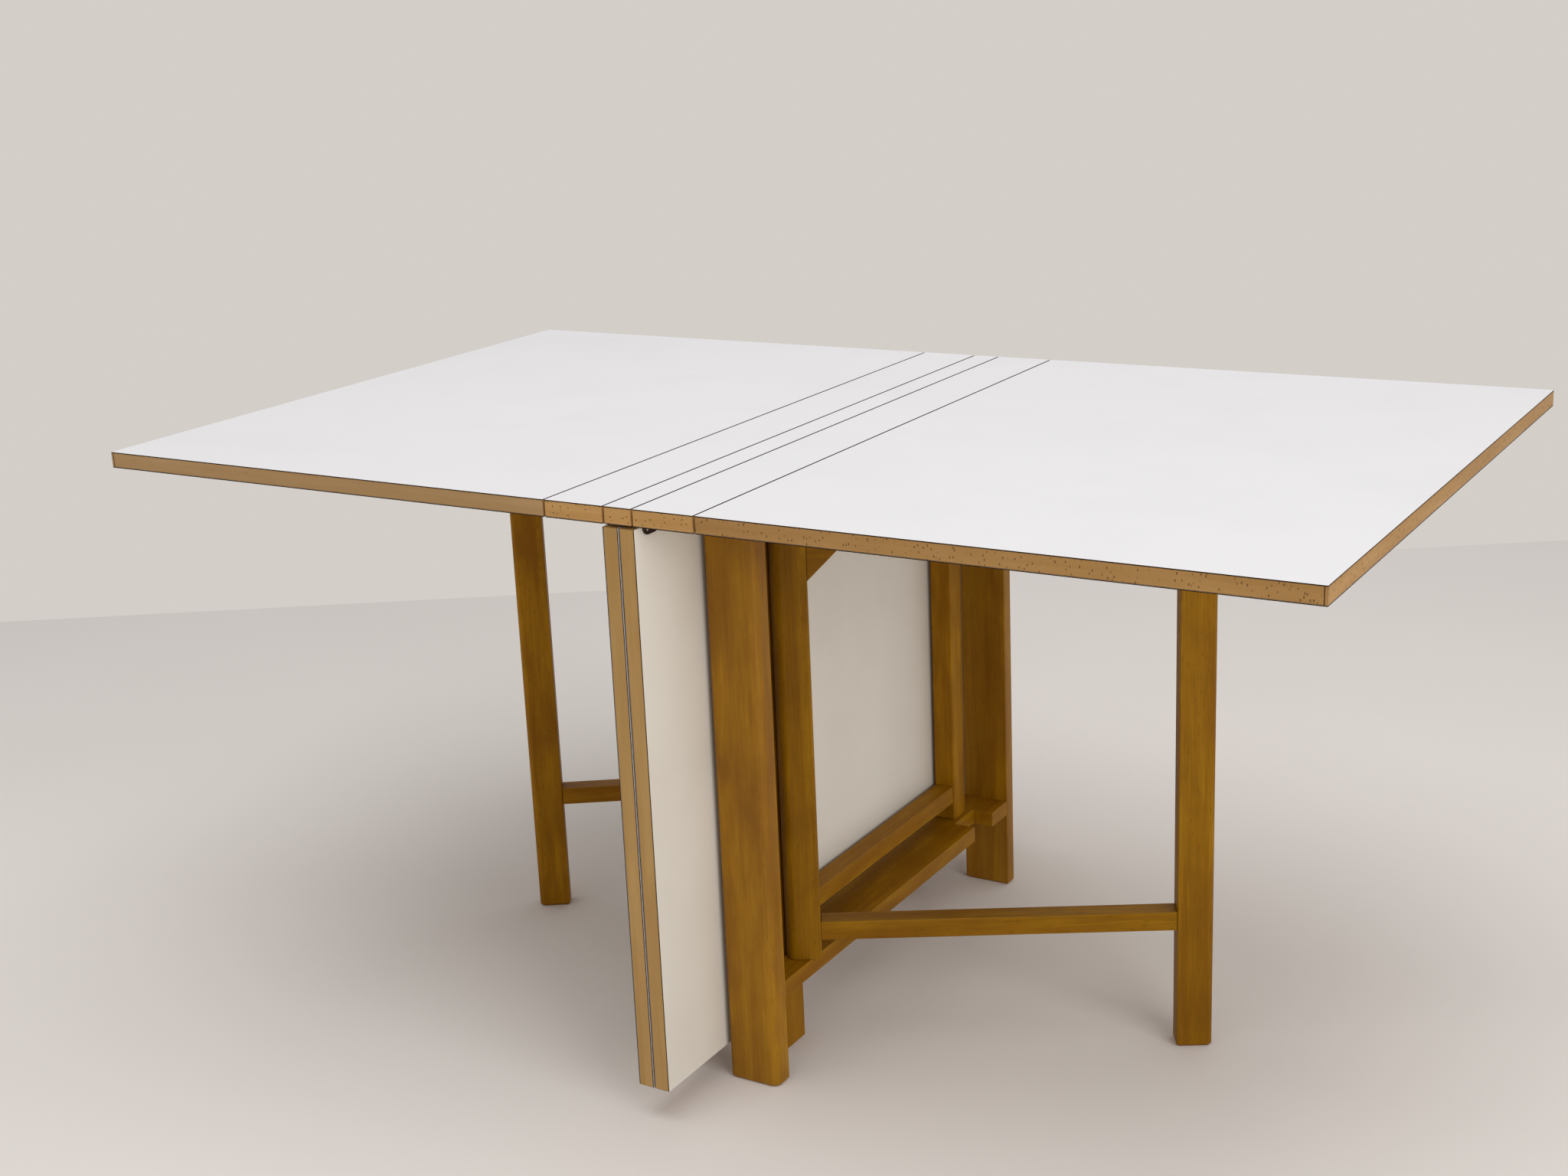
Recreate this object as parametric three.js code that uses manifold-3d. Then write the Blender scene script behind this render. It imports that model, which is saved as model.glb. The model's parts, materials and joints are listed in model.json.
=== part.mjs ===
// Folding gateleg dining table in laminate and beech, shown half extended: both outer leaves are up
// on their open gates, and both inner leaves hang side by side below the loose centre strip.
// Millimetres, +Z up. X runs along the table, Y across it, and the near side is -Y.
// The origin is on the floor, below the middle of the top.
import * as THREE from 'three';
import { mergeVertices } from 'three/addons/utils/BufferGeometryUtils.js';
import Module from 'manifold-3d';

const wasm = await Module();
wasm.setup();

// Whole table
const TABLE_HEIGHT = 720;
const TABLE_DEPTH = 900;

// Boards of the top: a core faced with laminate above and below, with a solid beech lipping let in
// round its edge
const CORE_THICKNESS = 18;
const LAMINATE_THICKNESS = 0.8;
const LIPPING_WIDTH = 10;
const LIPPING_GAP = 0.3;
const LEAF_LENGTH = 658;
const SEAM = 2.5;
const HANGING_LEAVES_GAP = 1.2;

// How far each fixed strip reaches past its end legs, towards the middle and towards the leaf
const STRIP_INNER_MARGIN = 6;
const STRIP_OUTER_MARGIN = 4;

// Dowels on the centre strip, which plug into the left strip
const DOWEL_RADIUS = 4;
const DOWEL_REACH = 8;
const DOWEL_SPACING = 340;
const DOWELS_EACH_SIDE_OF_MIDDLE = 1;

// Leaf hinges, with the pin level with the underside of the boards
const HINGE_LENGTH = 30;
const HINGE_FLAP_WIDTH = 13.5;
const HINGE_FLAP_THICKNESS = 1.5;
const HINGE_CORNER_RADIUS = 9;
const HINGE_BARREL_RADIUS = 2.6;
const HINGE_PIN_RADIUS = 1.3;
const HINGE_PIN_INSET = 0.7;
const HINGE_END_DISTANCE = 30;
const HINGE_SCREW_SPACING = 14;
const HINGE_SCREW_RADIUS = 2.1;
const HINGE_SCREW_LINE = 7.5;

// End legs and stretcher of each half frame. The strip above ties the tops of the end legs.
const END_LEG_WIDTH = 65;
const END_LEG_THICKNESS = 27;
const END_LEG_INSET = 120;
const END_LEG_ROUND_RADIUS = 11;
const END_LEG_SMALL_ROUND_RADIUS = 6;
const STRETCHER_INSET = 0.5;
const STRETCHER_THICKNESS = 20;
const STRETCHER_UNDERSIDE = 106;
const STRETCHER_SHOULDER = 12;

// Gates. The two closed gates of a half fill the width of its end legs.
const CLOSED_GATES_GAP = 7;
const PIVOT_TO_END_LEG = 69;
const CLOSED_LEG_TO_END_LEG = 57;
const STILE_WIDTH = 42;
const GATE_LEG_WIDTH = 42;
const GATE_LEG_ROUND_RADIUS = 7;
const GATE_RAIL_HEIGHT = 23;
const GATE_RAIL_SETBACK = 2;
const LOWER_RAIL_UNDERSIDE = 151;
const GUSSET_SIDE = 86;
const GUSSET_THICKNESS = 18;
const PIVOT_PIN_RADIUS = 5;
const PIVOT_PIN_LENGTH = 12;
const TENON_LENGTH = 16;
const TENON_THICKNESS = 9;
const TENON_SHOULDER = 3;

// How far each outer gate stands open, measured from the length of the table
const RIGHT_GATE_ANGLE = THREE.MathUtils.degToRad(29.4);
const LEFT_GATE_ANGLE = THREE.MathUtils.degToRad(33.6);

// Clearances and eased edges
const JOINT_GAP = 0.3;
const RUNNING_GAP = 0.8;
const PIN_GAP = 0.4;
const NOTCH_GAP = 3;
const NOTCH_END_GAP = 10;
const EASED_EDGE = 1.5;
const FOOT_EASE = 3;
const SOLE_HEIGHT = 0.2;
const OVERRUN = 5;
const ROUND_STEPS = 12;
const CORNER_STEPS = 6;
const STILE_ROUND_STEPS = 8;
const HINGE_ROUND_STEPS = 10;
const HINGE_CORNER_STEPS = 3;

// Levels and places that follow from the sizes
const BOARD_THICKNESS = CORE_THICKNESS + 2 * LAMINATE_THICKNESS;
const UNDERSIDE = TABLE_HEIGHT - BOARD_THICKNESS;
const FRAME_TOP = UNDERSIDE - JOINT_GAP;
const HINGE_TO_LEAF = HINGE_PIN_INSET + SEAM;
const INNER_PIN_X = HANGING_LEAVES_GAP / 2 + BOARD_THICKNESS;
const STRIP_INNER_X = INNER_PIN_X - HINGE_PIN_INSET;
const CENTRE_STRIP_WIDTH = 2 * (STRIP_INNER_X - SEAM);
const FRAME_INNER_X = STRIP_INNER_X + STRIP_INNER_MARGIN;
const FRAME_OUTER_X = FRAME_INNER_X + END_LEG_WIDTH;
const FRAME_MIDDLE_X = (FRAME_INNER_X + FRAME_OUTER_X) / 2;
const STRIP_OUTER_X = FRAME_OUTER_X + STRIP_OUTER_MARGIN;
const OUTER_PIN_X = STRIP_OUTER_X - HINGE_PIN_INSET;
const HINGE_Y = TABLE_DEPTH / 2 - HINGE_END_DISTANCE;
const END_LEG_OUTER_Y = TABLE_DEPTH / 2 - END_LEG_INSET;
const END_LEG_INNER_Y = END_LEG_OUTER_Y - END_LEG_THICKNESS;
const STRETCHER_TOP = STRETCHER_UNDERSIDE + STRETCHER_THICKNESS;
const GATE_THICKNESS = (END_LEG_WIDTH - CLOSED_GATES_GAP) / 2;
const GATE_RAIL_THICKNESS = GATE_THICKNESS - 2 * GATE_RAIL_SETBACK;
const STILE_ROUND_RADIUS = GATE_THICKNESS / 2;
const STILE_INNER_U = STILE_WIDTH / 2;
const GATE_PIVOT_Y = END_LEG_INNER_Y - PIVOT_TO_END_LEG;
const GATE_LEG_OUTER_U = GATE_PIVOT_Y + END_LEG_INNER_Y - CLOSED_LEG_TO_END_LEG;
const GATE_LEG_INNER_U = GATE_LEG_OUTER_U - GATE_LEG_WIDTH;
const OUTER_GATE_X = FRAME_MIDDLE_X + (GATE_THICKNESS + CLOSED_GATES_GAP) / 2;
const INNER_GATE_X = FRAME_MIDDLE_X - (GATE_THICKNESS + CLOSED_GATES_GAP) / 2;

// Finishes
const laminate = { color: 0xe9e8ea, roughness: 0.35, metalness: 0 };
const lippingBeech = { color: 0xa47c54, roughness: 0.55, metalness: 0 };
const stainedBeech = { color: 0x82551a, roughness: 0.5, metalness: 0 };
const bronze = { color: 0x2a1a10, roughness: 0.4, metalness: 0.8 };

// Turns a closed geometry into a solid for cutting and joining.
function toSolid(geometry) {
  const bare = geometry.clone();
  bare.deleteAttribute('normal');
  bare.deleteAttribute('uv');
  const merged = mergeVertices(bare);
  return new wasm.Manifold(new wasm.Mesh({
    numProp: 3,
    vertProperties: new Float32Array(merged.attributes.position.array),
    triVerts: new Uint32Array(merged.index.array),
  }));
}

// Turns a solid back into a geometry.
function toGeometry(solid) {
  const mesh = solid.getMesh();
  const geometry = new THREE.BufferGeometry();
  geometry.setAttribute('position', new THREE.BufferAttribute(mesh.vertProperties, mesh.numProp));
  geometry.setIndex(new THREE.BufferAttribute(mesh.triVerts, 1));
  const faceted = geometry.toNonIndexed();
  faceted.computeVertexNormals();
  return faceted;
}

function cut(geometry, tools) {
  let solid = toSolid(geometry);
  for (const tool of tools) {
    solid = solid.subtract(toSolid(tool));
  }
  return toGeometry(solid);
}

function join(pieces) {
  let solid = toSolid(pieces[0]);
  for (const piece of pieces.slice(1)) {
    solid = solid.add(toSolid(piece));
  }
  return toGeometry(solid);
}

// A box between two corners.
function boxBetween(x0, x1, y0, y1, z0, z1) {
  const box = new THREE.BoxGeometry(x1 - x0, y1 - y0, z1 - z0);
  return box.translate((x0 + x1) / 2, (y0 + y1) / 2, (z0 + z1) / 2);
}

// A round bar along Z between two heights.
function uprightBar(radius, x, y, z0, z1, steps = ROUND_STEPS) {
  const bar = new THREE.CylinderGeometry(radius, radius, z1 - z0, steps);
  return bar.rotateX(Math.PI / 2).translate(x, y, (z0 + z1) / 2);
}

// A round bar along Y between two places.
function crossBar(radius, x, z, y0, y1, steps = ROUND_STEPS) {
  const bar = new THREE.CylinderGeometry(radius, radius, y1 - y0, steps);
  return bar.translate(x, (y0 + y1) / 2, z);
}

// A round bar along X between two places.
function lengthBar(radius, y, z, x0, x1) {
  const bar = new THREE.CylinderGeometry(radius, radius, x1 - x0, ROUND_STEPS);
  return bar.rotateZ(Math.PI / 2).translate((x0 + x1) / 2, y, z);
}

// An upright post whose plan is a rectangle with one radius for each corner, in the order
// low x low y, high x low y, high x high y, low x high y.
function post(x0, x1, y0, y1, z0, z1, radii, steps = CORNER_STEPS) {
  const [a, b, c, d] = radii;
  const plan = new THREE.Shape();
  plan.moveTo(x0 + a, y0);
  plan.lineTo(x1 - b, y0);
  plan.absarc(x1 - b, y0 + b, b, -Math.PI / 2, 0, false);
  plan.lineTo(x1, y1 - c);
  plan.absarc(x1 - c, y1 - c, c, 0, Math.PI / 2, false);
  plan.lineTo(x0 + d, y1);
  plan.absarc(x0 + d, y1 - d, d, Math.PI / 2, Math.PI, false);
  plan.lineTo(x0, y0 + a);
  plan.absarc(x0 + a, y0 + a, a, Math.PI, Math.PI * 1.5, false);
  const options = { depth: z1 - z0, bevelEnabled: false, curveSegments: steps };
  return new THREE.ExtrudeGeometry(plan, options).translate(0, 0, z0);
}

// A leg is a post from the floor to the frame's top, with the edges of its foot eased.
function legPost(x0, x1, y0, y1, radii) {
  const shaft = post(x0, x1, y0, y1, FOOT_EASE, FRAME_TOP, radii);
  const soleRadii = radii.map((radius) => Math.max(radius - FOOT_EASE, EASED_EDGE / 2));
  const sole = post(
    x0 + FOOT_EASE, x1 - FOOT_EASE, y0 + FOOT_EASE, y1 - FOOT_EASE, 0, SOLE_HEIGHT, soleRadii,
  );
  return toGeometry(wasm.Manifold.hull([toSolid(shaft), toSolid(sole)]));
}

function meshOf(name, geometry, finish) {
  const mesh = new THREE.Mesh(geometry, new THREE.MeshStandardMaterial(finish));
  mesh.name = name;
  return mesh;
}

// A board lies with its underside at z 0. The laminate sheets run over the lipping, which sits in
// the groove between them.
function boardCore(x0, x1, y0, y1) {
  const blank = boxBetween(x0, x1, y0, y1, 0, BOARD_THICKNESS);
  const grooveBottom = LAMINATE_THICKNESS;
  const grooveTop = BOARD_THICKNESS - LAMINATE_THICKNESS;
  const collar = cut(
    boxBetween(x0 - OVERRUN, x1 + OVERRUN, y0 - OVERRUN, y1 + OVERRUN, grooveBottom, grooveTop),
    [boxBetween(
      x0 + LIPPING_WIDTH, x1 - LIPPING_WIDTH,
      y0 + LIPPING_WIDTH, y1 - LIPPING_WIDTH,
      grooveBottom - OVERRUN, grooveTop + OVERRUN,
    )],
  );
  return cut(blank, [collar]);
}

function boardLipping(x0, x1, y0, y1) {
  const bottom = LAMINATE_THICKNESS + LIPPING_GAP;
  const top = BOARD_THICKNESS - LAMINATE_THICKNESS - LIPPING_GAP;
  const inner = LIPPING_WIDTH - LIPPING_GAP;
  return cut(boxBetween(x0, x1, y0, y1, bottom, top), [boxBetween(
    x0 + inner, x1 - inner, y0 + inner, y1 - inner, bottom - OVERRUN, top + OVERRUN,
  )]);
}

// The pair of meshes of one board, with the same cutters taken from both.
function board(name, x0, x1, y0, y1, cutters) {
  const group = new THREE.Group();
  group.add(meshOf(`${name}_board`, cut(boardCore(x0, x1, y0, y1), cutters), laminate));
  group.add(meshOf(`${name}_lipping`, cut(boardLipping(x0, x1, y0, y1), cutters), lippingBeech));
  return group;
}

// Rebates for the hinge barrels at both ends of a hinge line, on a board's underside.
function barrelRebates(pinX) {
  const radius = HINGE_BARREL_RADIUS + PIN_GAP;
  const half = HINGE_LENGTH / 2 + PIN_GAP;
  return [-HINGE_Y, HINGE_Y].map((y) => crossBar(radius, pinX, 0, y - half, y + half));
}

// One hinge flap, with its pin along Y at the origin and its plate on the +X side. The fixed flap
// has the two end knuckles and the pin, and the moving flap has the middle knuckle.
function hingeFlap(fixed) {
  const half = HINGE_LENGTH / 2;
  const knuckle = HINGE_LENGTH / 6;
  const gap = JOINT_GAP / 2;
  const top = -JOINT_GAP;
  const bottom = top - HINGE_FLAP_THICKNESS;
  const plateStart = HINGE_BARREL_RADIUS + PIN_GAP;
  const spans = fixed
    ? [[-half, -knuckle - gap], [knuckle + gap, half]]
    : [[-knuckle + gap, knuckle - gap]];
  const radii = [EASED_EDGE, HINGE_CORNER_RADIUS, HINGE_CORNER_RADIUS, EASED_EDGE];
  const parts = [
    post(plateStart, HINGE_FLAP_WIDTH, -half, half, bottom, top, radii, HINGE_CORNER_STEPS),
  ];
  for (const [y0, y1] of spans) {
    parts.push(crossBar(HINGE_BARREL_RADIUS, 0, 0, y0, y1, HINGE_ROUND_STEPS));
    parts.push(boxBetween(0, plateStart + EASED_EDGE, y0, y1, bottom, top));
  }
  const holes = [-HINGE_SCREW_SPACING / 2, HINGE_SCREW_SPACING / 2].map((y) => uprightBar(
    HINGE_SCREW_RADIUS, HINGE_SCREW_LINE, y, bottom - OVERRUN, top + OVERRUN, HINGE_ROUND_STEPS,
  ));
  if (fixed) {
    const pin = crossBar(HINGE_PIN_RADIUS, 0, 0, -half + gap, half - gap, HINGE_ROUND_STEPS);
    parts.push(pin);
  } else {
    const bore = HINGE_PIN_RADIUS + JOINT_GAP;
    holes.push(crossBar(bore, 0, 0, -half, half, HINGE_ROUND_STEPS));
  }
  return cut(join(parts), holes);
}

// The two hinges of one hinge line, at pinX, with the strip on its +X or -X side. The moving flap
// is turned about the pin from level to the leaf's rest angle.
function hingeLine(name, ends, pinX, stripSide, leafDrop) {
  const group = new THREE.Group();
  for (const [end, y] of [[ends.hinge, -HINGE_Y], [ends.free, HINGE_Y]]) {
    const fixed = meshOf(`${name}_hinge_${end}_strip_flap`, hingeFlap(true), bronze);
    const moving = meshOf(`${name}_hinge_${end}_leaf_flap`, hingeFlap(false), bronze);
    const seat = new THREE.Group();
    seat.position.set(pinX, y, UNDERSIDE);
    seat.rotation.z = stripSide > 0 ? 0 : Math.PI;
    const leafSide = new THREE.Group();
    leafSide.rotation.set(0, -leafDrop, Math.PI, 'YXZ');
    leafSide.add(moving);
    seat.add(fixed, leafSide);
    group.add(seat);
  }
  return group;
}

// Tongue on a rail's end along X, and the mortise that takes it.
function tenon(x0, x1, y, z0, z1) {
  const half = TENON_THICKNESS / 2;
  return boxBetween(x0, x1, y - half, y + half, z0 + TENON_SHOULDER, z1 - TENON_SHOULDER);
}

function mortise(x0, x1, y, z0, z1) {
  const half = TENON_THICKNESS / 2 + JOINT_GAP;
  const shoulder = TENON_SHOULDER - JOINT_GAP;
  return boxBetween(x0, x1, y - half, y + half, z0 + shoulder, z1 - shoulder);
}

// A gate stands with its pivot on the Z axis and its leg on the +X side.
function gate(name) {
  const group = new THREE.Group();
  const half = GATE_THICKNESS / 2;
  const stileFoot = STRETCHER_TOP + RUNNING_GAP;
  const topRail = [FRAME_TOP - GATE_RAIL_HEIGHT, FRAME_TOP];
  const lowerRail = [LOWER_RAIL_UNDERSIDE, LOWER_RAIL_UNDERSIDE + GATE_RAIL_HEIGHT];
  const railLevels = [topRail, lowerRail];

  const stileRadii = [STILE_ROUND_RADIUS, EASED_EDGE, EASED_EDGE, STILE_ROUND_RADIUS]
    .map((radius) => Math.min(radius, half - JOINT_GAP));
  const stileBody = join([
    post(
      -STILE_INNER_U, STILE_INNER_U, -half, half, stileFoot, FRAME_TOP,
      stileRadii, STILE_ROUND_STEPS,
    ),
    uprightBar(
      PIVOT_PIN_RADIUS, 0, 0,
      stileFoot - RUNNING_GAP - PIVOT_PIN_LENGTH, FRAME_TOP + JOINT_GAP + PIVOT_PIN_LENGTH,
    ),
  ]);
  const stileMortises = railLevels.map(([z0, z1]) => mortise(
    STILE_INNER_U - TENON_LENGTH - JOINT_GAP, STILE_INNER_U + OVERRUN, 0, z0, z1,
  ));
  group.add(meshOf(`${name}_stile`, cut(stileBody, stileMortises), stainedBeech));

  const round = GATE_LEG_ROUND_RADIUS;
  const legBody = legPost(
    GATE_LEG_INNER_U, GATE_LEG_OUTER_U, -half, half, [EASED_EDGE, round, round, EASED_EDGE],
  );
  const legMortises = railLevels.map(([z0, z1]) => mortise(
    GATE_LEG_INNER_U - OVERRUN, GATE_LEG_INNER_U + TENON_LENGTH + JOINT_GAP, 0, z0, z1,
  ));
  group.add(meshOf(`${name}_leg`, cut(legBody, legMortises), stainedBeech));

  const railHalf = GATE_RAIL_THICKNESS / 2;
  const railEnds = [STILE_INNER_U + JOINT_GAP, GATE_LEG_INNER_U - JOINT_GAP];
  ['top_rail', 'lower_rail'].forEach((rail, index) => {
    const [z0, z1] = railLevels[index];
    const body = join([
      boxBetween(railEnds[0], railEnds[1], -railHalf, railHalf, z0, z1),
      tenon(STILE_INNER_U - TENON_LENGTH, GATE_LEG_INNER_U + TENON_LENGTH, 0, z0, z1),
    ]);
    group.add(meshOf(`${name}_${rail}`, body, stainedBeech));
  });

  const corner = [STILE_INNER_U + JOINT_GAP, topRail[0] - JOINT_GAP];
  const triangle = new THREE.Shape();
  triangle.moveTo(corner[0], corner[1]);
  triangle.lineTo(corner[0], corner[1] - GUSSET_SIDE);
  triangle.lineTo(corner[0] + GUSSET_SIDE, corner[1]);
  const gusset = new THREE.ExtrudeGeometry(triangle, {
    depth: GUSSET_THICKNESS,
    bevelEnabled: false,
  });
  gusset.rotateX(Math.PI / 2).translate(0, GUSSET_THICKNESS / 2, 0);
  group.add(meshOf(`${name}_gusset`, gusset, stainedBeech));
  return group;
}

// An end leg is a wide board with both outward arrises rounded, the one under the leaf most.
// side is -1 at the low y end.
function endLeg(name, side) {
  const x0 = FRAME_INNER_X;
  const x1 = FRAME_OUTER_X;
  const y0 = side < 0 ? -END_LEG_OUTER_Y : END_LEG_INNER_Y;
  const y1 = y0 + END_LEG_THICKNESS;
  const big = END_LEG_ROUND_RADIUS;
  const small = END_LEG_SMALL_ROUND_RADIUS;
  const radii = side < 0
    ? [small, big, EASED_EDGE, EASED_EDGE]
    : [EASED_EDGE, EASED_EDGE, big, small];
  const leg = legPost(x0, x1, y0, y1, radii);
  const deep = side * (END_LEG_INNER_Y + TENON_LENGTH + JOINT_GAP);
  const clear = side * (END_LEG_INNER_Y - OVERRUN);
  const half = stretcherTenonHalf() + JOINT_GAP;
  const shoulder = TENON_SHOULDER - JOINT_GAP;
  const pocket = boxBetween(
    FRAME_MIDDLE_X - half, FRAME_MIDDLE_X + half,
    Math.min(deep, clear), Math.max(deep, clear),
    STRETCHER_UNDERSIDE + shoulder, STRETCHER_TOP - shoulder,
  );
  return meshOf(name, cut(leg, [pocket]), stainedBeech);
}

function stretcherTenonHalf() {
  return END_LEG_WIDTH / 2 - STRETCHER_INSET - STRETCHER_SHOULDER;
}

// The stretcher is notched at each end for the leg of a closed gate, and bored for the pivot pins.
function stretcher(name) {
  const x0 = FRAME_INNER_X + STRETCHER_INSET;
  const x1 = FRAME_OUTER_X - STRETCHER_INSET;
  const end = END_LEG_INNER_Y - JOINT_GAP;
  const tongue = END_LEG_INNER_Y + TENON_LENGTH;
  const half = stretcherTenonHalf();
  const body = join([
    boxBetween(x0, x1, -end, end, STRETCHER_UNDERSIDE, STRETCHER_TOP),
    boxBetween(
      FRAME_MIDDLE_X - half, FRAME_MIDDLE_X + half, -tongue, tongue,
      STRETCHER_UNDERSIDE + TENON_SHOULDER, STRETCHER_TOP - TENON_SHOULDER,
    ),
  ]);
  const notchStart = GATE_LEG_INNER_U - GATE_PIVOT_Y - NOTCH_GAP;
  const notchEnd = GATE_LEG_OUTER_U - GATE_PIVOT_Y + NOTCH_END_GAP;
  const notchDepth = GATE_THICKNESS / 2 + RUNNING_GAP;
  const low = STRETCHER_UNDERSIDE - OVERRUN;
  const high = STRETCHER_TOP + OVERRUN;
  const bore = PIVOT_PIN_RADIUS + PIN_GAP;
  const boreFloor = STRETCHER_TOP - PIVOT_PIN_LENGTH - RUNNING_GAP;
  return meshOf(name, cut(body, [
    boxBetween(OUTER_GATE_X - notchDepth, x1 + OVERRUN, notchStart, notchEnd, low, high),
    boxBetween(x0 - OVERRUN, INNER_GATE_X + notchDepth, -notchEnd, -notchStart, low, high),
    uprightBar(bore, OUTER_GATE_X, -GATE_PIVOT_Y, boreFloor, high),
    uprightBar(bore, INNER_GATE_X, GATE_PIVOT_Y, boreFloor, high),
  ]), stainedBeech);
}

// Where the dowels stand along the centre strip.
function dowelPlaces() {
  const places = [];
  for (let i = -DOWELS_EACH_SIDE_OF_MIDDLE; i <= DOWELS_EACH_SIDE_OF_MIDDLE; i += 1) {
    places.push(i * DOWEL_SPACING);
  }
  return places;
}

// One half of the table, built with its seat on the +X side of the middle. The outer gate pivots
// at the low y end and the inner gate at the high y end.
function tableHalf(side, ends, gateAngle, takesDowels) {
  const group = new THREE.Group();
  const halfDepth = TABLE_DEPTH / 2;

  const stripGroup = new THREE.Group();
  stripGroup.position.z = UNDERSIDE;
  const pinBore = PIVOT_PIN_RADIUS + PIN_GAP;
  const boreTop = PIVOT_PIN_LENGTH + RUNNING_GAP;
  const stripCutters = [
    ...barrelRebates(INNER_PIN_X),
    ...barrelRebates(OUTER_PIN_X),
    uprightBar(pinBore, OUTER_GATE_X, -GATE_PIVOT_Y, -OVERRUN, boreTop),
    uprightBar(pinBore, INNER_GATE_X, GATE_PIVOT_Y, -OVERRUN, boreTop),
  ];
  if (takesDowels) {
    const depth = STRIP_INNER_X - SEAM + DOWEL_REACH + RUNNING_GAP;
    for (const y of dowelPlaces()) {
      stripCutters.push(lengthBar(
        DOWEL_RADIUS + PIN_GAP, y, BOARD_THICKNESS / 2, STRIP_INNER_X - OVERRUN, depth,
      ));
    }
  }
  stripGroup.add(board(
    `${side}_strip`, STRIP_INNER_X, STRIP_OUTER_X, -halfDepth, halfDepth, stripCutters,
  ));
  group.add(stripGroup);

  group.add(endLeg(`${side}_${ends.hinge}_end_leg`, -1));
  group.add(endLeg(`${side}_${ends.free}_end_leg`, 1));
  group.add(stretcher(`${side}_stretcher`));

  const outerGate = gate(`${side}_outer_gate`);
  outerGate.position.set(OUTER_GATE_X, -GATE_PIVOT_Y, 0);
  outerGate.rotation.z = gateAngle;
  const innerGate = gate(`${side}_inner_gate`);
  innerGate.position.set(INNER_GATE_X, GATE_PIVOT_Y, 0);
  innerGate.rotation.z = -Math.PI / 2;
  group.add(outerGate, innerGate);

  // A leaf is laid out level, with its hinge line at x 0 and its outer end on the +X side.
  const leafStart = HINGE_TO_LEAF;
  const leafEnd = leafStart + LEAF_LENGTH;
  const outerLeaf = board(
    `${side}_outer_leaf`, leafStart, leafEnd, -halfDepth, halfDepth, barrelRebates(0),
  );
  outerLeaf.position.set(OUTER_PIN_X, 0, UNDERSIDE);
  const innerLeaf = board(
    `${side}_inner_leaf`, leafStart, leafEnd, -halfDepth, halfDepth, barrelRebates(0),
  );
  const innerLeafSeat = new THREE.Group();
  innerLeafSeat.position.set(INNER_PIN_X, 0, UNDERSIDE);
  innerLeafSeat.rotation.z = Math.PI;
  innerLeaf.rotation.y = Math.PI / 2;
  innerLeafSeat.add(innerLeaf);
  group.add(outerLeaf, innerLeafSeat);

  group.add(hingeLine(`${side}_outer_leaf`, ends, OUTER_PIN_X, -1, 0));
  group.add(hingeLine(`${side}_inner_leaf`, ends, INNER_PIN_X, 1, Math.PI / 2));
  return group;
}

// The loose strip that fills the gap over the hanging leaves.
function centreStrip() {
  const group = new THREE.Group();
  const half = CENTRE_STRIP_WIDTH / 2;
  const halfDepth = TABLE_DEPTH / 2;
  const middle = BOARD_THICKNESS / 2;
  const dowels = dowelPlaces().map((y) => lengthBar(
    DOWEL_RADIUS, y, middle, -half - DOWEL_REACH, -half + LIPPING_WIDTH / 2,
  ));
  const lipping = join([boardLipping(-half, half, -halfDepth, halfDepth), ...dowels]);
  group.add(meshOf('centre_strip_board', boardCore(-half, half, -halfDepth, halfDepth), laminate));
  group.add(meshOf('centre_strip_lipping', lipping, lippingBeech));
  group.position.z = UNDERSIDE;
  return group;
}

const table = new THREE.Group();
table.add(tableHalf('right', { hinge: 'near', free: 'far' }, RIGHT_GATE_ANGLE, false));
const leftHalf = tableHalf('left', { hinge: 'far', free: 'near' }, LEFT_GATE_ANGLE, true);
leftHalf.rotation.z = Math.PI;
table.add(leftHalf);
table.add(centreStrip());

export default table;
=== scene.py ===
# %% [markdown]
# # A folding gateleg table in laminate and beech
#
# This lesson dresses a dining table that is half extended. Both outer leaves lie up on their open
# gates, and both inner leaves hang side by side under a loose centre strip. The shapes come from
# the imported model, so here they need good surfaces, the small screws of the hinges, a camera and
# light. Everything is in metres, with Z up and the floor at zero. X runs along the table, and the
# near side looks towards -Y.

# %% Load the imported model
import json
import math

import bmesh
import bpy
from mathutils import Matrix, Vector


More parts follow.
